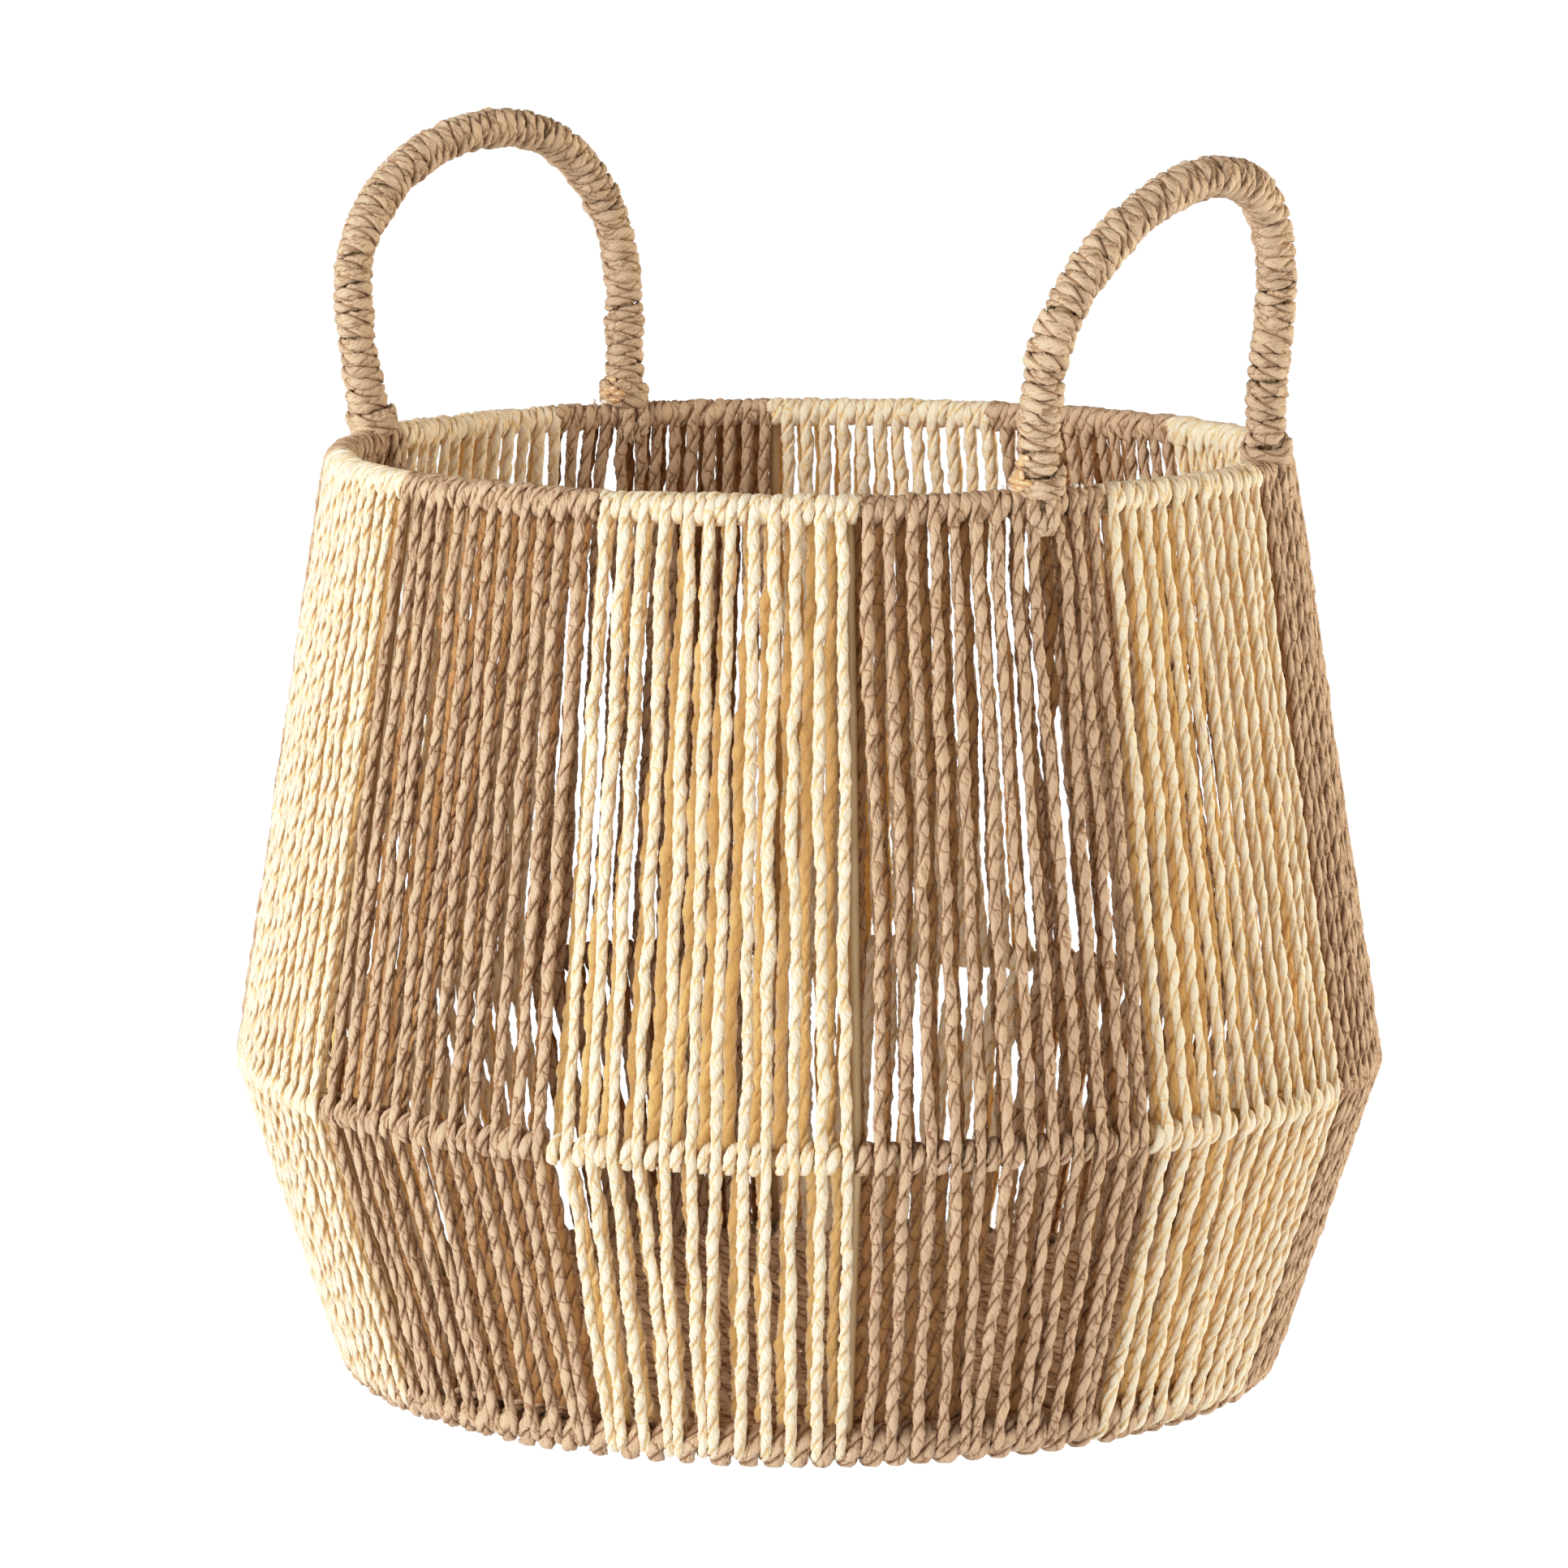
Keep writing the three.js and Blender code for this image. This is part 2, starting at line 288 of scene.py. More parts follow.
def paper_cord(name, face, crease, warm_shade, roughness, pleat=0.95):
    """Twisted paper. The first colour is the ply's own face; the second is painted shade, drawn into the
    folds between plies, along the edges of the rolled strip and in the wrinkles' valleys; the third is
    painted warm shade on the side turned towards the wall's other layer, where the paper is shaded and warm.
    pleat is the width of the paper's pleats."""
    material, shader, tree = new_material(name)
    grain = node(tree, "ShaderNodeAttribute", attribute_name="grain").outputs["Vector"]
    # How much painted shade each place gets: in the folds, and on the sides facing the wall's other layer.
    fold = node(tree, "ShaderNodeAttribute", attribute_name="fold").outputs["Fac"]
    painted_warm_shade = node(tree, "ShaderNodeAttribute", attribute_name="painted_warm_shade").outputs["Fac"]

    wrinkle = stretched_noise(tree, grain, 6.3 * pleat, pleat, 3.0, lean=-42)
    fibre = stretched_noise(tree, grain, 9.0, 0.3, 2.0, lean=-34)
    stain = stretched_noise(tree, grain, 35.0, 6.0, 2.0)
    lap = strip_edges(tree, grain, 7.0, lean=39)

    # Painted warm shade on the sides that face the wall's other layer.
    colour = mixed(tree, ramp(tree, painted_warm_shade, (0.1, grey(0)), (0.7, grey(1))), face, warm_shade)
    # Painted shade in the folds between plies.
    fold_shade_share = ramp(tree, fold, (0.0, grey(0)), (0.6, grey(0.2)), (1.0, grey(0.9)))
    colour = mixed(tree, fold_shade_share, colour, crease)
    # A painted shade line along each edge of the rolled strip.
    edges = ramp(tree, lap, (0.0, grey(0.85)), (0.15, grey(0)))
    colour = mixed(tree, edges, colour, crease)
    # Painted shade in the valleys of the wrinkles.
    lines = ramp(tree, wrinkle, (0.3, grey(0.8)), (0.44, grey(0)))
    colour = mixed(tree, lines, colour, crease)
    patches = ramp(tree, stain, (0.3, grey(0.86)), (0.7, grey(1.06)))
    colour = mixed(tree, 1.0, colour, patches, "MULTIPLY")
    threads = ramp(tree, fibre, (0.3, grey(0.88)), (0.7, grey(1.07)))
    colour = mixed(tree, 1.0, colour, threads, "MULTIPLY")
    tree.links.new(colour, shader.inputs["Base Color"])

    fine = node(tree, "ShaderNodeBump", Strength=0.7, Distance=0.22 * MM)
    tree.links.new(fibre, fine.inputs["Height"])
    lapped = node(tree, "ShaderNodeBump", Strength=1.0, Distance=0.9 * MM)
    tree.links.new(lap, lapped.inputs["Height"])
    tree.links.new(fine.outputs[0], lapped.inputs["Normal"])
    coarse = node(tree, "ShaderNodeBump", Strength=1.0, Distance=1.0 * MM)
    tree.links.new(wrinkle, coarse.inputs["Height"])
    tree.links.new(lapped.outputs[0], coarse.inputs["Normal"])
    tree.links.new(coarse.outputs[0], shader.inputs["Normal"])

    shader.inputs["Roughness"].default_value = roughness
    shader.inputs["Specular IOR Level"].default_value = 0.2
    return material


def frame_paint():
    material, shader, tree = new_material("frame_paint")
    place = node(tree, "ShaderNodeTexCoord").outputs["Object"]
    drips = node(tree, "ShaderNodeTexNoise", Scale=60.0, Detail=3.0)
    tree.links.new(place, drips.inputs["Vector"])
    # The frame's cream paint is drawn darker and more golden than it is, as painted shade: the wires stand in
    # the wall's shade and warm bounced light.
    colour = ramp(tree, drips.outputs["Fac"], (0.3, (0.42, 0.27, 0.12)), (0.7, (0.54, 0.38, 0.19)))
    tree.links.new(colour, shader.inputs["Base Color"])
    peel = node(tree, "ShaderNodeTexNoise", Scale=500.0, Detail=2.0)
    tree.links.new(place, peel.inputs["Vector"])
    bump = node(tree, "ShaderNodeBump", Strength=0.3, Distance=0.1 * MM)
    tree.links.new(peel.outputs["Fac"], bump.inputs["Height"])
    tree.links.new(bump.outputs[0], shader.inputs["Normal"])
    shader.inputs["Roughness"].default_value = 0.38
    return material


def glue(name, thick, thin):
    material, shader, tree = new_material(name)
    place = node(tree, "ShaderNodeTexCoord").outputs["Object"]
    cloud = node(tree, "ShaderNodeTexNoise", Scale=450.0, Detail=3.0)
    tree.links.new(place, cloud.inputs["Vector"])
    colour = ramp(tree, cloud.outputs["Fac"], (0.35, thick), (0.65, thin))
    tree.links.new(colour, shader.inputs["Base Color"])
    ripple = node(tree, "ShaderNodeBump", Strength=0.5, Distance=0.3 * MM)
    tree.links.new(cloud.outputs["Fac"], ripple.inputs["Height"])
    tree.links.new(ripple.outputs[0], shader.inputs["Normal"])
    shader.inputs["Roughness"].default_value = 0.24
    shader.inputs["Coat Weight"].default_value = 0.25
    return material


# ---- sweeping a two-ply cord ----

# Round one section: a fold at each quarter turn, and the back of a ply between two folds, fuller on the
# side where the rolled paper's edge lies over its neighbour.
SECTION_TURN = np.radians([-90, -64, -34, -2, 30, 62, 90, 116, 146, 178, 210, 242])
SECTION_REACH = np.array([0.5, 0.97, 1.03, 0.94, 0.95, 0.84] * 2)
# How much painted shade each corner of a section gets: full in the folds between plies.
SECTION_FOLD_SHADE = np.array([1.0, 0.12, 0, 0, 0.05, 0.4] * 2)
# Where the two edges of each lengthwise strip lie on their ply, in turns of the cord.
STRIP_EDGES = np.radians([(edge, edge + 30) for edge in (-90, -60, -30, 0, 30, 60)] * 2)


def wander(rng, along, wavelength, columns=None):
    """Smooth random values from -1 to 1, one for each place, or one column for each of several lines."""
    knots = int(along[-1] / wavelength) + 3
    values = rng.uniform(-1, 1, (knots, columns or 1))
    place = along / wavelength
    low = np.minimum(place.astype(int), knots - 2)
    share = (place - low)[:, None]
    share = share * share * (3 - 2 * share)
    found = values[low] * (1 - share) + values[low + 1] * share
    return found if columns else found[:, 0]


def eased(values, window):
    """Rounds the corners of a sampled line over this many samples."""
    if window < 3:
        return values
    weights = np.hanning(window + 2)[1:-1]
    weights /= weights.sum()
    padded = np.concatenate([np.full(window, values[0]), values, np.full(window, values[-1])])
    return np.convolve(padded, weights, "same")[window:-window]


def unit(rows):
    return rows / np.maximum(np.linalg.norm(rows, axis=1, keepdims=True), 1e-12)


def length_along(points):
    return np.concatenate([[0], np.cumsum(np.linalg.norm(np.diff(points, axis=0), axis=1))])


def at_places(places, along, rows):
    """A line's rows of three numbers, read off at these lengths along it."""
    return np.column_stack([np.interp(places, along, rows[:, i]) for i in range(3)])


def evenly_spaced(points, step):
    along = length_along(points)
    return at_places(np.linspace(0, along[-1], int(along[-1] / step) + 1), along, points)


def round_axis(radius, bearing, height):
    """Places round the basket's axis, and the sideways direction at each. Bearings are in radians here."""
    points = np.column_stack([radius * np.cos(bearing), radius * np.sin(bearing), height])
    return points, np.column_stack([-np.sin(bearing), np.cos(bearing), np.zeros_like(bearing)])


class CordMesh:
    """Gathers swept cords into one mesh, with the coordinates and the shares of painted shade that the cord's
    material reads.
    """

    def __init__(self, seed):
        self.rng = np.random.default_rng(SEED * 1000 + seed)
        self.points, self.quads, self.caps = [], [], []
        self.grain, self.fold, self.painted_warm_shade = [], [], []
        self.count = 0

    def lay(self, points, across, size, layer=None, pitch=TWIST_PITCH, crumple=0.1):
        """Sweeps the cord along points. across is each section's width direction, and size its half width
        and height. layer is 0 for a strand on the wall's outside and 1 on its inside."""
        rng, n, sides = self.rng, len(points), len(SECTION_TURN)
        along = length_along(points)
        forward = unit(np.gradient(points, axis=0))
        wide = unit(across - forward * (across * forward).sum(1, keepdims=True))
        up = np.cross(forward, wide)

        # A ply dwells in front, wide and flat, then crosses quickly to the back where the cord is narrow.
        twist = 2 * np.pi * along / pitch + wander(rng, along, 17) + rng.uniform(0, 2 * np.pi)
        twist = twist + DWELL * np.sin(2 * twist)
        reach = SECTION_REACH * (1 + crumple * wander(rng, along, 3.2, sides))
        plump = 1 + 0.13 * wander(rng, along, 9.0, 2)
        reach = reach * np.repeat(plump, sides // 2, axis=1)
        from_end = np.minimum(along, along[-1] - along)
        taper = np.sqrt(np.clip((from_end + 0.15) / TIP, 0.02, 1))[:, None]
        narrowing = (1 - SWELL * np.cos(2 * twist))[:, None] ** [1, 0.5]
        size = np.broadcast_to(np.asarray(size, float), (n, 2)) * narrowing
        angle = twist[:, None] + SECTION_TURN
        right = (reach * taper * np.cos(angle) * size[:, :1])[..., None]
        rise = (reach * taper * np.sin(angle) * size[:, 1:])[..., None]
        skin = points[:, None, :] + right * wide[:, None, :] + rise * up[:, None, :]

        ring = np.arange(sides)
        ahead = np.roll(ring, -1)
        start = self.count + sides * np.arange(n - 1)[:, None]
        quads = np.stack([start + ring, start + ahead, start + sides + ahead, start + sides + ring], axis=2)
        self.quads.append(quads.reshape(-1, 4))
        self.caps.append(self.count + ring[::-1])
        self.caps.append(self.count + sides * (n - 1) + ring)

        own = np.empty((n - 1, sides, 4, 3))
        own[..., 0] = np.stack([along[:-1], along[:-1], along[1:], along[1:]], axis=1)[:, None, :]
        own[..., 1] = STRIP_EDGES[:, [0, 1, 1, 0]] * size.mean()
        own[..., 2] = (np.repeat(rng.uniform(0, 900, 2), sides // 2) / MM)[:, None]
        self.points.append(skin.reshape(-1, 3))
        self.grain.append(own.reshape(-1, 3))
        # Shares of painted shade: in the folds, and on the sides that face the wall's other layer.
        self.fold.append(np.tile(SECTION_FOLD_SHADE, n))
        self.painted_warm_shade.append(self.painted_shade_share(points, skin, layer))
        self.count += n * sides

    @staticmethod
    def painted_shade_share(points, skin, layer):
        """Painted warm shade for each place on the skin: how far it faces the wall's other layer of strands,
        0 to 1.
        """
        if layer is None:
            return np.zeros(skin.shape[0] * skin.shape[1])
        outward = unit(points * [1, 1, 0])
        facing = ((skin - points[:, None, :]) * outward[:, None, :]).sum(2) / WALL_CORD[1]
        return np.clip(facing * (2 * layer - 1)[:, None], 0, 1).ravel()

    def stand_on_ground(self):
        """Presses nearly flat what would be below the ground, where the basket stands on the cord."""
        for skin in self.points:
            skin[:, 2] = np.maximum(skin[:, 2], 0.02 * skin[:, 2])

    def build(self, name, material):
        hairs, hair_quads = stray_fibres(self)
        points = np.concatenate([*self.points, hairs]) * MM
        quads = np.concatenate([*self.quads, hair_quads + self.count])
        sides = len(SECTION_TURN)
        corners = np.concatenate([quads.ravel(), np.concatenate(self.caps)])
        counts = np.concatenate([np.full(len(quads), 4), np.full(len(self.caps), sides)])
        starts = np.concatenate([[0], np.cumsum(counts)[:-1]])
        mesh = bpy.data.meshes.new(name)
        mesh.vertices.add(len(points))
        mesh.vertices.foreach_set("co", points.astype(np.float32).ravel())
        mesh.loops.add(len(corners))
        mesh.loops.foreach_set("vertex_index", corners.astype(np.int32))
        mesh.polygons.add(len(counts))
        mesh.polygons.foreach_set("loop_start", starts.astype(np.int32))
        mesh.polygons.foreach_set("loop_total", counts.astype(np.int32))
        mesh.polygons.foreach_set("use_smooth", np.ones(len(counts), bool))
        mesh.update(calc_edges=True)
        spare = np.zeros((4 * len(hair_quads) + sides * len(self.caps), 3))
        own = np.concatenate([*self.grain, spare]) * MM
        grain = mesh.attributes.new("grain", "FLOAT_VECTOR", "CORNER")
        grain.data.foreach_set("vector", own.astype(np.float32).ravel())
        # The material reads these as painted shade: in the folds, and on the sides facing the other layer.
        for key, values in (("fold", self.fold), ("painted_warm_shade", self.painted_warm_shade)):
            made = mesh.attributes.new(key, "FLOAT", "POINT")
            made.data.foreach_set("value", np.concatenate([*values, np.zeros(len(hairs))]).astype(np.float32))
        ends = np.empty(2 * len(mesh.edges), np.int32)
        mesh.edges.foreach_get("vertices", ends)
        first, second = (ends.reshape(-1, 2) % sides).T
        creased = (first == second) & (first % (sides // 2) == 0)
        creased &= ends.reshape(-1, 2).max(1) < self.count
        mesh.attributes.new("sharp_edge", "BOOLEAN", "EDGE").data.foreach_set("value", creased)
        mesh.materials.append(material)
        piece = bpy.data.objects.new(name, mesh)
        bpy.context.scene.collection.objects.link(piece)
        return piece


def stray_fibres(cord):
    """Loose paper fibres that stand off the cord, as (points, faces) of thin three-sided hairs."""
    rng = cord.rng
    skin = np.concatenate(cord.points)
    roots = skin[rng.integers(0, len(skin), len(skin) // FIBRE_EVERY)]
    n, joints = len(roots), 5
    reach = rng.uniform(*FIBRE_LENGTH, (n, 1))
    heading, bend = unit(rng.normal(size=(n, 3))), rng.normal(size=(n, 3)) * FIBRE_BEND
    by_ground = roots[:, 2] < 5
    for way in (heading, bend):
        way[by_ground, 2] = np.abs(way[by_ground, 2])
    side = unit(np.cross(heading, rng.normal(size=(n, 3))))
    other = np.cross(heading, side)
    rings = []
    for k in range(joints):
        share = k / (joints - 1)
        middle = roots + reach * share * (heading + bend * share)
        thick = FIBRE_RADIUS * (1 - 0.8 * share)
        for turn in (0.0, 2.094, 4.189):
            rings.append(middle + thick * (math.cos(turn) * side + math.sin(turn) * other))
    points = np.stack(rings, axis=1).reshape(-1, 3)
    start = 3 * joints * np.arange(n)[:, None]
    quads = []
    for k in range(joints - 1):
        for j in range(3):
            here, ahead = 3 * k + j, 3 * k + (j + 1) % 3
            quads.append(start + [here, ahead, ahead + 3, here + 3])
    return points, np.stack(quads, axis=1).reshape(-1, 4)


def smooth_piece(name, points, faces, material):
    mesh = bpy.data.meshes.new(name)
    mesh.from_pydata((points * MM).tolist(), [], faces)
    mesh.polygons.foreach_set("use_smooth", np.ones(len(faces), bool))
    mesh.materials.append(material)
    piece = bpy.data.objects.new(name, mesh)
    bpy.context.scene.collection.objects.link(piece)
    return piece


def finish_piece(piece, slot, *nodes):
    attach(piece, "root")
    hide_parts(*nodes)


# ---- the wound wall ----


class Route:
    """A cord's line as radius, height, bearing and the cord's half width and half thickness, built up from
    arcs round the hoops and straight runs."""

    def __init__(self):
        self.rows = []

    def round(self, wire, radius, tilts, bearings, size):
        """Goes round a hoop's wire through these tilts, at these bearings. Both are in degrees."""
        tilts, bearings = np.asarray(tilts, float), np.asarray(bearings, float)
        steps = max(2, int(abs(tilts[-1] - tilts[0]) / 360 * 2 * math.pi * radius / STEP))
        share = np.linspace(0, 1, steps + 1)
        at = tilts[0] + (tilts[-1] - tilts[0]) * share
        order = np.argsort(tilts)
        bearing = np.interp(at, tilts[order], bearings[order])
        turn = np.radians(at)
        rows = np.column_stack([
            wire.radius + radius * np.cos(turn), wire.height + radius * np.sin(turn), bearing,
            np.full(steps + 1, size[0]), np.full(steps + 1, size[1]),
        ])
        self.join(rows[0])
        self.rows.append(rows)

    def join(self, row):
        """A straight run from the last row to this one, with the wall's plain cord between."""
        if not self.rows:
            return
        last = self.rows[-1][-1]
        span = math.hypot(row[0] - last[0], row[1] - last[1])
        steps = int(span / STEP)
        if steps < 2:
            return
        share = (np.arange(1, steps) / steps)[:, None]
        rows = last + (row - last) * share
        rows[:, 3:] = WALL_CORD
        self.rows.append(rows)

    def table(self):
        return np.concatenate(self.rows)


def base_tiling(rng):
    """Bearings within one panel at the base: the wall's strands, and the whipping's turns between them."""
    groups = ["ST", "ST", "SST"] * 3
    groups = [groups[i] for i in rng.permutation(len(groups))]
    order = "".join(groups)
    widths = np.array([1.0 if letter == "S" else 1.28 for letter in order])
    widths *= 1 + 0.1 * rng.uniform(-1, 1, len(widths))
    middles = (np.cumsum(widths) - widths / 2) / widths.sum()
    letters = np.array(list(order))
    return middles[letters == "S"], middles[letters == "T"]


FEET = [shape.centre + side * shape.spread for shape in HANDLES for side in (-1, 1)]
PANEL_STEP = 360 / PANELS
PERIOD = PANEL_STEP / TURNS
tiling_rng = np.random.default_rng(SEED)
TILINGS = [base_tiling(tiling_rng) for _ in range(PANELS)]


def wind_panel(index, material):
    """One band of the wall: the cord goes over the rim and once round it, down the outside, under the base,
    up the inside with a turn round the belly hoop, and over the rim again, each time further left."""
    name = f"{'cream' if index % 2 == 0 else 'tan'}_cord_panel_{index // 2 + 1}"
    cord = CordMesh(index)
    rng = cord.rng
    left = FIRST_PANEL + index * PANEL_STEP
    strand_shares = TILINGS[index][0][::-1]
    route = Route()
    up_in, up_out = UPPER_TILT + 180, UPPER_TILT

    def at_rim(k, share):
        return left + PANEL_STEP - (0.02 + 0.985 * (k + share) / TURNS) * PANEL_STEP

    outer_jitter = 0.09 * rng.uniform(-1, 1, TURNS)
    for k in range(TURNS):
        out = 0.74 + outer_jitter[k]
        tops = [0.0, 0.12, 0.32, 0.44, 0.56, out]
        tilts = [up_in, 100, -50, -180, -262, up_out - 360]
        bearings = [at_rim(k, share) for share in tops]
        lobe = np.array(RIM_LOBE) * (1 + 0.1 * rng.uniform(-1, 1, 2))
        route.round(RIM, WRAP_RADIUS + 0.35 * rng.uniform(-1, 1), tilts, bearings, lobe)
        belly_out = at_rim(k, out + 0.09 * rng.uniform(-1, 1))
        route.round(BELLY, BELLY_RADIUS, [up_out, LOWER_TILT], [belly_out, belly_out], WALL_CORD)
        base_out = left + PANEL_STEP * strand_shares[k]
        base_in = base_out - PERIOD * (0.3 + 0.1 * rng.uniform(-1, 1))
        route.round(BASE, BASE_RADIUS, [LOWER_TILT, LOWER_TILT - 180], [base_out, base_in], BASE_LOBE)
        bead = 1.24 + 0.06 * rng.uniform(-1, 1)
        tilts = [LOWER_TILT + 180, 90, -80, up_in - 360]
        bearings = [at_rim(k, bead + aside) for aside in (-0.2, -0.14, 0.14, 0.2)]
        route.round(BELLY, WRAP_RADIUS, tilts, bearings, np.array(BEAD) * (1 + 0.1 * rng.uniform(-1, 1)))
    route.round(RIM, WRAP_RADIUS, [up_in, 30], [at_rim(TURNS, -0.02), at_rim(TURNS, 0.0)], RIM_LOBE)

    table = route.table()
    along = np.concatenate([[0], np.cumsum(np.hypot(*np.diff(table[:, :2], axis=0).T))])
    radius, height = eased(table[:, 0], 3), eased(table[:, 1], 3)
    bearing = np.radians(eased(table[:, 2], 9))
    size = np.column_stack([eased(table[:, 3], 7), eased(table[:, 4], 7)])
    layer = layer_of(radius, height)
    slack = np.clip(1.6 * distance_from_hoops(radius, height) / 30, 0, 1)
    radius = radius + 0.4 * slack * wander(rng, along, 17)
    sideways = slack * (0.7 * wander(rng, along, 12) + 0.85 * wander(rng, along, 60))
    bearing = parted(bearing + sideways / radius, height)
    size = size * (1 + 0.09 * wander(rng, along, 55)[:, None])
    size[:, 0] *= 1 + 0.2 * layer
    points, across = round_axis(radius, bearing, height)
    cord.lay(points, across, size, layer)
    finish_piece(cord.build(name, material), "cream_cord" if index % 2 == 0 else "tan_cord", name)


def parted(bearing, height):
    """The wall's bearings, pushed apart just below the handle feet, where the lashings part the strands."""
    strength = np.interp(RIM.height - height, [5, 18, 60, 130], [0, 1, 0.8, 0])
    for foot in FEET:
        away = (np.degrees(bearing) - foot + 180) % 360 - 180
        bearing = bearing + strength * np.radians(0.8 * np.tanh(away / 0.5) * np.exp(-((away / 3.5) ** 2)))
    return bearing


def distance_from_hoops(radius, height):
    spans = [np.hypot(radius - h.radius, height - h.height) for h in (RIM, BELLY, BASE)]
    return np.minimum.reduce(spans) - WRAP_RADIUS


def layer_of(radius, height):
    """0 on the wall's outside and 1 on its inside, for each place on the winding."""
    wall = np.where(
        height > BELLY.height,
        np.interp(height, [BELLY.height, RIM.height], [BELLY.radius, RIM.radius]),
        np.interp(height, [BASE.height, BELLY.height], [BASE.radius, BELLY.radius]),
    )
    return np.clip((wall - radius) / WRAP_RADIUS + 0.35, 0, 1)


# ---- base whipping and floor ----


def whip_base(material):
    """One cord wound round the base hoop, its turns between the wall's strands."""
    cord = CordMesh(40)
    rng = cord.rng
    stops = np.concatenate([FIRST_PANEL + (i + TILINGS[i][1]) * PANEL_STEP for i in range(PANELS)])[::-1]
    per_turn = int(math.pi * sum(WHIP_RADIUS) / STEP)
    turn_at = np.arange(len(stops) * per_turn + 1) / per_turn
    # Most of the way to the next gap is made inside and underneath; the outer face leans a little.
    phase = turn_at % 1.0
    lean = np.interp(phase, [0.0, 0.35, 0.65, 1.0], [-0.5, -0.17, 0.17, 0.5])
    middles = np.interp(np.floor(turn_at) + 0.5 + lean, np.arange(len(stops)) + 0.5, stops)
    bearing = np.radians(eased(middles, 5))
    tilt = np.pi * (1 - 2 * phase)
    uneven = 1 + 0.04 * wander(rng, turn_at * WHIP_TURN, 20)
    radius = BASE.radius + WHIP_RADIUS[0] * uneven * np.cos(tilt)
    # Underneath, the cord reaches a little below the ground, so that it stands on a flat.
    to_ground = BASE.height - WHIP_CORD[1] + 0.6
    height = BASE.height + np.where(tilt < 0, to_ground, WHIP_RADIUS[1]) * np.sin(tilt)
    points, across = round_axis(radius, bearing, height)
    size = np.array(WHIP_CORD) * (1 + 0.08 * wander(rng, turn_at * WHIP_TURN, 40))[:, None]
    cord.lay(points, across, size, pitch=WOUND_PITCH)
    cord.stand_on_ground()
    finish_piece(cord.build("base_whipping", material), "tan_cord", "base_whipping")


def weave_floor(material):
    """Rows that cross the ribs, over one and under the next, each turning back at the base hoop."""
    cord = CordMesh(41)
    rng = cord.rng
    reach = BASE.radius - HOOP_WIRE - FLOOR_INSET
    rows = int(2 * (reach - FLOOR_ROW / 2) / FLOOR_ROW)
    lift = STAY_WIRE + FLOOR_LIFT
    line = []
    for j in range(rows):
        across = (j - (rows - 1) / 2) * FLOOR_ROW
        half = math.sqrt(reach**2 - across**2)
        x = np.arange(-half, half, STEP)
        y = np.full_like(x, across) + 0.5 * wander(rng, x + half, 18)
        z = BASE.height + lift * (-1) ** j * np.cos(np.pi * x / RIB_PITCH) + 0.2 * wander(rng, x + half, 12)
        row = np.column_stack([x, y, z])
        line.append(row if j % 2 == 0 else row[::-1])
    points = np.concatenate(line)
    points = np.column_stack([eased(points[:, i], 7) for i in range(3)])
    points = evenly_spaced(points, STEP * 1.15)
    turn = math.radians(RIB_DIRECTION - 90)
    x, y = points[:, 0].copy(), points[:, 1].copy()
    points[:, 0] = x * math.cos(turn) - y * math.sin(turn)
    points[:, 1] = x * math.sin(turn) + y * math.cos(turn)
    forward = unit(np.gradient(points, axis=0))
    across = unit(np.cross(np.array([[0.0, 0.0, 1.0]]), forward))
    along = length_along(points)
    size = np.array(FLOOR_CORD) * (1 + 0.08 * wander(rng, along, 30))[:, None]
    cord.lay(points, across, size, pitch=FLOOR_PITCH)
    finish_piece(cord.build("floor_weave", material), "tan_cord", "floor_weave")


# ---- handles ----


def polar(radius, degrees):
    return np.array([radius * math.cos(math.radians(degrees)), radius * math.sin(math.radians(degrees))])


def handle_line(shape, cut):
    """The handle's middle line, evenly spaced, from this height above the rim's wire at both feet, and the
    direction square to the arch."""
    feet = [np.append(polar(RIM.radius, shape.centre + side * shape.spread), RIM.height) for side in (-1, 1)]
    middle, foot_half = (feet[0] + feet[1]) / 2, np.linalg.norm(feet[1] - feet[0]) / 2
    side = (feet[1] - feet[0]) / (2 * foot_half)
    lean = math.radians(shape.lean)
    up = np.append(polar(math.sin(lean), shape.centre), math.cos(lean))
    halves = []
    for sign, (reach, shoulder, roundness) in zip((-1, 1), shape.sides):
        climb = np.linspace(cut / shoulder, 1, 1000)
        spread = foot_half + (reach - foot_half) * (1 - (1 - climb) ** 2)
        leg = np.column_stack([sign * spread, shoulder * climb])
        turn, power = np.linspace(0, np.pi / 2, 2001)[1:], 2 / roundness
        top = np.column_stack([
            shape.crown + (sign * reach - shape.crown) * np.maximum(0, np.cos(turn)) ** power,
            shoulder + (shape.rise - shoulder) * np.sin(turn) ** power,
        ])
        halves.append(np.concatenate([leg, top]))
    flat = np.concatenate([halves[0], halves[1][-2::-1]])
    points = middle + np.outer(flat[:, 0], side) + np.outer(flat[:, 1], up)
    return evenly_spaced(points, 0.5), np.cross(side, up)


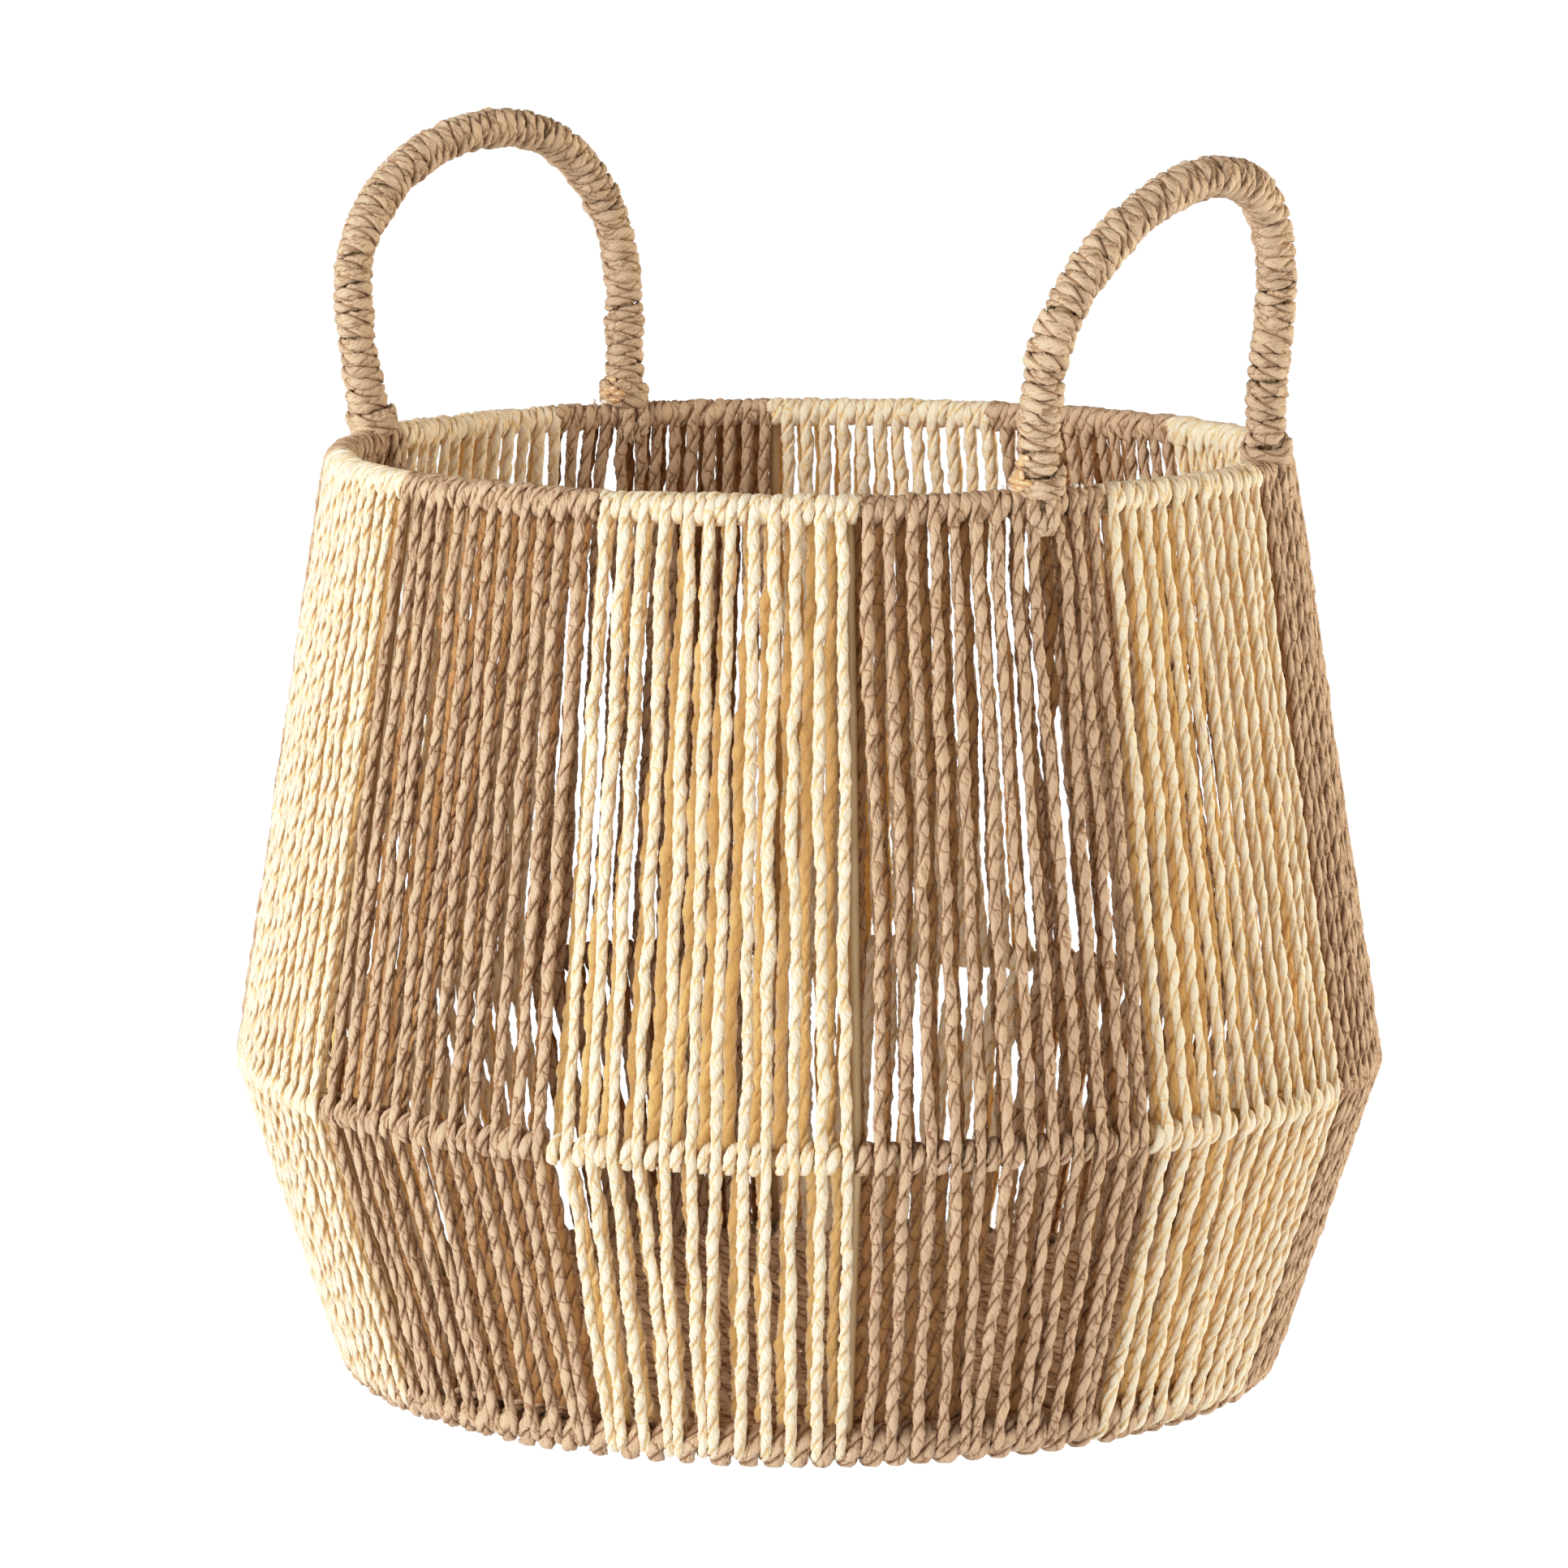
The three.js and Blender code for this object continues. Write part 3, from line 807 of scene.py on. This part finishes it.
def wrap_handle(index, shape, material):
    """Cord wound round the handle's wire, close and by hand, so its turns differ in pitch and lean."""
    name = f"handle_cord_{index + 1}"
    cord = CordMesh(50 + index)
    rng = cord.rng
    line, normal = handle_line(shape, HANDLE_CORD_START)
    along = length_along(line)
    round_once = 2 * math.pi * HANDLE_WRAP_RADIUS
    turns = along[-1] / HANDLE_TURN
    samples = int(turns * round_once / STEP)
    wound = np.linspace(0, turns, samples)
    cord_length = wound * round_once
    place = wound / turns * along[-1]
    angle = 2 * np.pi * wound
    lean = 1.5 * wander(rng, cord_length, 5 * round_once)
    place = place + 0.9 * wander(rng, cord_length, 0.8 * round_once) + lean * np.cos(angle)
    place = np.clip(place, 0, along[-1])
    centre = at_places(place, along, line)
    forward = unit(at_places(place, along, unit(np.gradient(line, axis=0))))
    inward = unit(np.cross(forward, normal))
    reach = (HANDLE_WRAP_RADIUS + 0.35 * wander(rng, cord_length, 0.6 * round_once))[:, None]
    points = centre + reach * (np.cos(angle)[:, None] * normal + np.sin(angle)[:, None] * inward)
    size = np.array(HANDLE_CORD) * (1 + 0.16 * wander(rng, cord_length, 38, 2))
    cord.lay(points, forward, size, pitch=WOUND_PITCH, crumple=0.15)
    finish_piece(cord.build(name, material), "handle_cord", name)


def lash_foot(number, shape, side, material):
    """Turns round the foot of a handle, and a loop and a strap that go over the rim."""
    name = f"foot_lashing_{number}"
    cord = CordMesh(60 + number)
    rng = cord.rng
    bearing = shape.centre + side * shape.spread
    line, normal = handle_line(shape, 0.0)
    if side > 0:
        line = line[::-1]
    along = length_along(line)
    samples = int(LASH_TURNS * 2 * math.pi * LASH_SPACING / STEP)
    angle = np.linspace(0, 2 * np.pi * LASH_TURNS, samples)
    place = np.linspace(*LASH_SPAN, samples)
    centre = at_places(place, along, line)
    forward = unit(at_places(place, along, np.gradient(line, axis=0)))
    inward = unit(np.cross(forward, normal))
    reach = (LASH_RADIUS + 0.4 * wander(rng, angle * LASH_SPACING, 12))[:, None]
    points = centre + reach * (np.cos(angle)[:, None] * normal + np.sin(angle)[:, None] * inward)
    cord.lay(points, forward, FOOT_CORD, pitch=WOUND_PITCH)

    # The loop hangs on the outside at the first handle's feet, and on the inside at the second's. Its places
    # are (outwards, upwards, sideways) from the rim's wire.
    outward = 1 if shape is HANDLES[0] else -1
    bend = np.radians(np.linspace(0, 180, 9))
    over = np.column_stack([-outward * 6.4 * np.cos(bend), 6.4 * np.sin(bend), np.linspace(-1.4, 0.4, 9)])
    under = np.column_stack([
        outward * np.linspace(6.7, 6.2, 9), -7.2 - 1.7 * np.sin(bend), -0.9 + 1.7 * np.cos(bend),
    ])
    loop = [
        (-outward * 6.2, -7.0, -1.6), *over, (outward * 6.8, -3.5, 0.9), *under,
        (outward * 5.6, -1.0, -2.6),
    ]
    strap = [(-6.0, -8.0, -5.6), *(over * [outward, 0.97, 0] + [0, 0, -5.6]), (6.0, -7.0, -5.0)]
    for path in (loop, strap):
        offsets = evenly_spaced(np.array(path), STEP)
        offsets = np.column_stack([eased(offsets[:, i], 3) for i in range(3)])
        spin = np.radians(bearing) + offsets[:, 2] / RIM.radius
        points, across = round_axis(RIM.radius + offsets[:, 0], spin, RIM.height + offsets[:, 1])
        cord.lay(points, across, LASH_CORD, pitch=LOOP_PITCH)
    finish_piece(cord.build(name, material), "handle_cord", name)


def drop_glue(name, shape, drops, material):
    """Drops of dried glue round a handle's first foot: each is (direction from the handle's wire, distance
    from it, height above the rim's wire, half width, half height)."""
    rng = np.random.default_rng(SEED + int(shape.spread))
    rows, around = 12, 18
    tilt, turn = np.meshgrid(
        np.linspace(0.02, np.pi - 0.02, rows), np.arange(around) / around * 2 * np.pi, indexing="ij"
    )
    leg = handle_line(shape, 0.0)[0][:100]
    points, faces = [], []
    for direction, distance, height, half_width, half_height in drops:
        axis = np.array([np.interp(RIM.height + height, leg[:, 2], leg[:, i]) for i in (0, 1)])
        middle = np.append(axis + polar(distance, direction), RIM.height + height)
        out, side = np.append(polar(1, direction), 0), np.append(polar(1, direction + 90), 0)
        lumpy = 1 + 0.16 * np.sin(2 * turn + rng.uniform(0, 6)) * np.sin(tilt)
        lumpy = lumpy + 0.12 * np.cos(3 * tilt + rng.uniform(0, 6))
        ball = (
            (0.4 * half_width * lumpy * np.sin(tilt) * np.cos(turn))[..., None] * out
            + (half_width * lumpy * np.sin(tilt) * np.sin(turn))[..., None] * side
            + (half_height * lumpy * np.cos(tilt))[..., None] * np.array([0, 0, 1])
        )
        first = sum(len(p) for p in points)
        points.append((middle + ball).reshape(-1, 3))
        faces.append([first + i for i in range(around)])
        for i in range(rows - 1):
            for j in range(around):
                here, there = first + i * around, first + (i + 1) * around
                faces.append([here + j, there + j, there + (j + 1) % around, here + (j + 1) % around])
        faces.append([first + (rows - 1) * around + i for i in reversed(range(around))])
    piece = smooth_piece(name, np.concatenate(points), faces, material)
    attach(piece, "root")


# ---- the wire frame ----


def wire_mesh(name, points, radius, material, closed=False):
    """A round wire along points. An open one is a little thinner at both ends."""
    n, sides = len(points), 20
    if closed:
        forward = unit(np.roll(points, -1, axis=0) - np.roll(points, 1, axis=0))
    else:
        forward = unit(np.gradient(points, axis=0))
    upright = np.array([0.0, 0.0, 1.0]) if abs(forward[n // 2, 2]) < 0.9 else np.array([1.0, 0.0, 0.0])
    right = unit(np.cross(forward, upright))
    up = np.cross(right, forward)
    angle = np.linspace(0, 2 * np.pi, sides, endpoint=False)
    thick = np.full(n, radius)
    if not closed:
        thick[[0, -1]] *= 0.75
    ring = np.cos(angle)[None, :, None] * right[:, None, :] + np.sin(angle)[None, :, None] * up[:, None, :]
    skin = (points[:, None, :] + thick[:, None, None] * ring).reshape(-1, 3)
    faces = []
    for i in range(n if closed else n - 1):
        here, there = i * sides, (i + 1) % n * sides
        for j in range(sides):
            ahead = (j + 1) % sides
            faces.append((here + ahead, here + j, there + j, there + ahead))
    if not closed:
        faces += [tuple(range(sides)), tuple((n - 1) * sides + j for j in reversed(range(sides)))]
    finish_piece(smooth_piece(name, skin, faces, material), "frame_paint", name)


def build_frame(material):
    spin = np.linspace(0, 2 * np.pi, 240, endpoint=False)
    for name, h in (("rim_hoop", RIM), ("belly_hoop", BELLY), ("base_hoop", BASE)):
        ring, _ = round_axis(h.radius, spin, np.full_like(spin, h.height))
        wire_mesh(name, ring, HOOP_WIRE, material, closed=True)
    for i in range(STAYS):
        bearing = FIRST_PANEL + PANEL_STEP - STAY_LEAD + 360 / STAYS * i
        for part, low, high in (("upper", BELLY, RIM), ("lower", BASE, BELLY)):
            foot, head = (np.append(polar(h.radius, bearing), h.height) for h in (low, high))
            inset = (head - foot) / np.linalg.norm(head - foot) * HOOP_WIRE * 0.9
            line = np.linspace(foot + inset, head - inset, 24)
            wire_mesh(f"{part}_stay_{i + 1}", line, STAY_WIRE, material)
    turn = math.radians(RIB_DIRECTION)
    for i in range(FLOOR_RIBS):
        offset = (i - (FLOOR_RIBS - 1) / 2) * RIB_PITCH
        half = math.sqrt((BASE.radius - HOOP_WIRE) ** 2 - offset**2)
        x = np.linspace(-half, half, 24)
        line = np.column_stack([
            x * math.cos(turn) - offset * math.sin(turn), x * math.sin(turn) + offset * math.cos(turn),
            np.full_like(x, BASE.height),
        ])
        wire_mesh(f"floor_rib_{i + 1}", line, STAY_WIRE, material)
    for i, shape in enumerate(HANDLES):
        line, _ = handle_line(shape, HANDLE_WIRE_START)
        wire_mesh(f"handle_wire_{i + 1}", line[::6], HANDLE_WIRE, material)


# ---- the basket ----

add_camera()
add_studio()
add_backdrop()

# Each paper has its own face colour, then a painted shade colour for its creases and a painted warm shade
# colour for the side facing the wall's other layer.
CREAM = paper_cord("cream_paper", (0.95, 0.785, 0.565), (0.88, 0.54, 0.19), (0.95, 0.61, 0.23), 0.62)
TAN = paper_cord("tan_paper", (0.60, 0.405, 0.255), (0.19, 0.072, 0.02), (0.46, 0.225, 0.08), 0.72)
# The basket's floor gets a lighter, warmer copy of the tan paper: painted light for the floor inside, which
# the lamps barely reach.
LIT_FLOOR_TAN = paper_cord("floor_paper_lit", (0.76, 0.49, 0.29), (0.28, 0.12, 0.04), (0.5, 0.3, 0.16), 0.72)
HANDLE = paper_cord(
    "handle_paper", (0.65, 0.46, 0.295), (0.27, 0.13, 0.055), (0.5, 0.33, 0.19), 0.70, pleat=0.6
)
PAINT = frame_paint()

for panel in range(PANELS):
    wind_panel(panel, CREAM if panel % 2 == 0 else TAN)
whip_base(TAN)
weave_floor(LIT_FLOOR_TAN)
for which, arch in enumerate(HANDLES):
    wrap_handle(which, arch, HANDLE)
    for foot, end in enumerate((-1, 1)):
        lash_foot(2 * which + foot + 1, arch, end, HANDLE)
build_frame(PAINT)

AMBER = glue("amber_glue", (0.48, 0.25, 0.09), (0.70, 0.44, 0.23))
PALE = glue("pale_glue", (0.70, 0.60, 0.48), (0.92, 0.87, 0.80))
drop_glue("amber_glue_front_foot", HANDLES[0], [
    (-118, 8.8, 8.5, 3.0, 1.6), (-100, 8.8, 10.3, 3.0, 1.7), (-86, 8.7, 7.8, 2.8, 1.4),
    (-112, 7.2, 13.8, 2.2, 1.4), (-106, 8.8, 5.8, 3.2, 1.4), (-92, 7.1, 15.8, 2.0, 1.1),
], AMBER)
drop_glue("pale_glue_front_foot", HANDLES[0], [
    (-120, 9.5, 5.6, 2.3, 1.0), (-126, 12.5, 5.9, 1.5, 0.8), (-112, 7.6, 4.8, 1.4, 1.0),
    (44, 12.0, 6.2, 2.2, 0.9), (38, 14.0, 6.0, 1.1, 0.8),
], PALE)
drop_glue("amber_glue_far_foot", HANDLES[1], [
    (-104, 8.6, 8.6, 3.0, 1.6), (-84, 8.6, 10.2, 3.0, 1.4), (-62, 8.5, 9.0, 2.8, 1.2),
    (-92, 7.1, 13.4, 2.4, 1.3), (-74, 8.6, 6.4, 3.0, 1.2), (-56, 7.0, 12.8, 2.2, 1.1),
], AMBER)
drop_glue("pale_glue_far_foot", HANDLES[1], [
    (-112, 8.0, 4.8, 1.7, 1.6), (-104, 8.6, 3.2, 1.2, 1.3), (-128, 11.0, 5.4, 1.6, 0.9),
], PALE)
